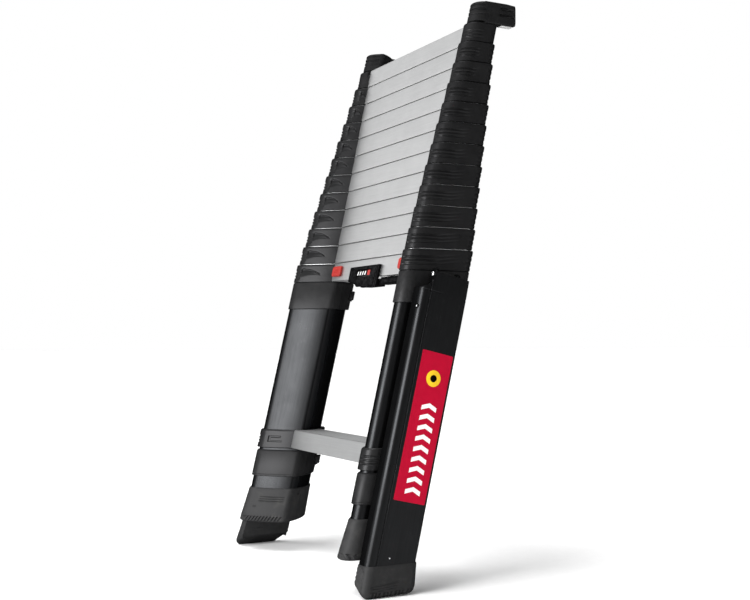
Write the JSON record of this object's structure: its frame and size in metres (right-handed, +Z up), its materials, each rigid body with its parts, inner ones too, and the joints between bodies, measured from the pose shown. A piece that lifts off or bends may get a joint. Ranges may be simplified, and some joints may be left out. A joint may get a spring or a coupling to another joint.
{
  "type": "telescoping ladder",
  "caption": "Telescoping lean-to ladder, closed, with nested stiles, slotted collars, red release buttons and hinged stabiliser legs.",
  "frame": {"origin": "bottom centre of the overall box, level with the lowest edge of the folded stabiliser feet", "axes": "+Z up, +X to the right along the rungs, +Y back to the wall that the ladder leans on; the stiles rise 13 degrees back from vertical"},
  "size_m": [0.4924, 0.3108, 0.889],
  "materials": {
    "satin_aluminium": "satin brushed",
    "tube_aluminium": "satin tube under a matte black collar",
    "black_anodised": "black anodised satin",
    "collar_plastic": "matte moulded",
    "rubber": "matte",
    "red_plastic": "semi-gloss",
    "steel": "zinc plated"
  },
  "bodies": {
    "base": {"base_tube_right": "black_anodised", "base_collar_right": "collar_plastic", "upper_bracket_right": "collar_plastic", "step_collar_right": "collar_plastic", "lower_sleeve_right": "collar_plastic", "shoe_right": "rubber", "pivot_pin_right": "steel", "base_tube_left": "black_anodised", "base_collar_left": "collar_plastic", "upper_bracket_left": "collar_plastic", "step_collar_left": "collar_plastic", "lower_sleeve_left": "collar_plastic", "shoe_left": "rubber", "pivot_pin_left": "steel", "base_rung": "satin_aluminium", "bottom_step": "satin_aluminium", "catch_bar": "collar_plastic"},
    "section_1": {"stile_1_right": "tube_aluminium", "stile_1_left": "tube_aluminium", "rung_1": "satin_aluminium"},
    "section_2": {"stile_2_right": "tube_aluminium", "stile_2_left": "tube_aluminium", "rung_2": "satin_aluminium"},
    "section_3": {"stile_3_right": "tube_aluminium", "stile_3_left": "tube_aluminium", "rung_3": "satin_aluminium"},
    "section_4": {"stile_4_right": "tube_aluminium", "stile_4_left": "tube_aluminium", "rung_4": "satin_aluminium"},
    "section_5": {"stile_5_right": "tube_aluminium", "stile_5_left": "tube_aluminium", "rung_5": "satin_aluminium"},
    "section_6": {"stile_6_right": "tube_aluminium", "stile_6_left": "tube_aluminium", "rung_6": "satin_aluminium"},
    "section_7": {"stile_7_right": "tube_aluminium", "stile_7_left": "tube_aluminium", "rung_7": "satin_aluminium"},
    "section_8": {"stile_8_right": "tube_aluminium", "stile_8_left": "tube_aluminium", "rung_8": "satin_aluminium"},
    "section_9": {"stile_9_right": "tube_aluminium", "stile_9_left": "tube_aluminium", "rung_9": "satin_aluminium"},
    "section_10": {"stile_10_right": "tube_aluminium", "stile_10_left": "tube_aluminium", "rung_10": "satin_aluminium"},
    "section_11": {"stile_11_right": "tube_aluminium", "stile_11_left": "tube_aluminium", "rung_11": "satin_aluminium", "top_cap_right": "collar_plastic", "top_cap_left": "collar_plastic"},
    "release_right": {"release_button_right": "red_plastic"},
    "stabiliser_right": {"stabiliser_leg_right": "black_anodised", "stabiliser_foot_right": "rubber"},
    "release_left": {"release_button_left": "red_plastic"},
    "stabiliser_left": {"stabiliser_leg_left": "black_anodised", "stabiliser_foot_left": "rubber"},
    "catch": {"centre_catch": "collar_plastic"}
  },
  "joints": [
    {"name": "section_1_slide", "type": "slide", "parent": "base", "child": "section_1", "axis": [0, 0.225, 0.9744], "range_m": [0, 0.2665]},
    {"name": "section_2_slide", "type": "slide", "parent": "section_1", "child": "section_2", "axis": [0, 0.225, 0.9744], "range_m": [0, 0.2665]},
    {"name": "section_3_slide", "type": "slide", "parent": "section_2", "child": "section_3", "axis": [0, 0.225, 0.9744], "range_m": [0, 0.2665]},
    {"name": "section_4_slide", "type": "slide", "parent": "section_3", "child": "section_4", "axis": [0, 0.225, 0.9744], "range_m": [0, 0.2665]},
    {"name": "section_5_slide", "type": "slide", "parent": "section_4", "child": "section_5", "axis": [0, 0.225, 0.9744], "range_m": [0, 0.2665]},
    {"name": "section_6_slide", "type": "slide", "parent": "section_5", "child": "section_6", "axis": [0, 0.225, 0.9744], "range_m": [0, 0.2665]},
    {"name": "section_7_slide", "type": "slide", "parent": "section_6", "child": "section_7", "axis": [0, 0.225, 0.9744], "range_m": [0, 0.2665]},
    {"name": "section_8_slide", "type": "slide", "parent": "section_7", "child": "section_8", "axis": [0, 0.225, 0.9744], "range_m": [0, 0.2665]},
    {"name": "section_9_slide", "type": "slide", "parent": "section_8", "child": "section_9", "axis": [0, 0.225, 0.9744], "range_m": [0, 0.2665]},
    {"name": "section_10_slide", "type": "slide", "parent": "section_9", "child": "section_10", "axis": [0, 0.225, 0.9744], "range_m": [0, 0.2665]},
    {"name": "section_11_slide", "type": "slide", "parent": "section_10", "child": "section_11", "axis": [0, 0.225, 0.9744], "range_m": [0, 0.2665]},
    {"name": "release_right_slide", "type": "slide", "parent": "base", "child": "release_right", "axis": [-1, 0, 0], "range_m": [0, 0.008], "stiffness_N_per_m": 400, "springref_m": -0.004},
    {"name": "release_left_slide", "type": "slide", "parent": "base", "child": "release_left", "axis": [1, 0, 0], "range_m": [0, 0.008], "stiffness_N_per_m": 400, "springref_m": -0.004},
    {"name": "stabiliser_right_hinge", "type": "hinge", "parent": "base", "child": "stabiliser_right", "pos_m": [0.231, 0.00192, 0.45331], "axis": [0, -0.9744, 0.225], "range_deg": [0, 25]},
    {"name": "stabiliser_left_hinge", "type": "hinge", "parent": "base", "child": "stabiliser_left", "pos_m": [-0.231, 0.00192, 0.45331], "axis": [0, 0.9744, -0.225], "range_deg": [0, 25]},
    {"name": "catch_hinge", "type": "hinge", "parent": "base", "child": "catch", "pos_m": [0, 0.00123, 0.456], "axis": [1, 0, 0], "range_deg": [0, 75]}
  ]
}
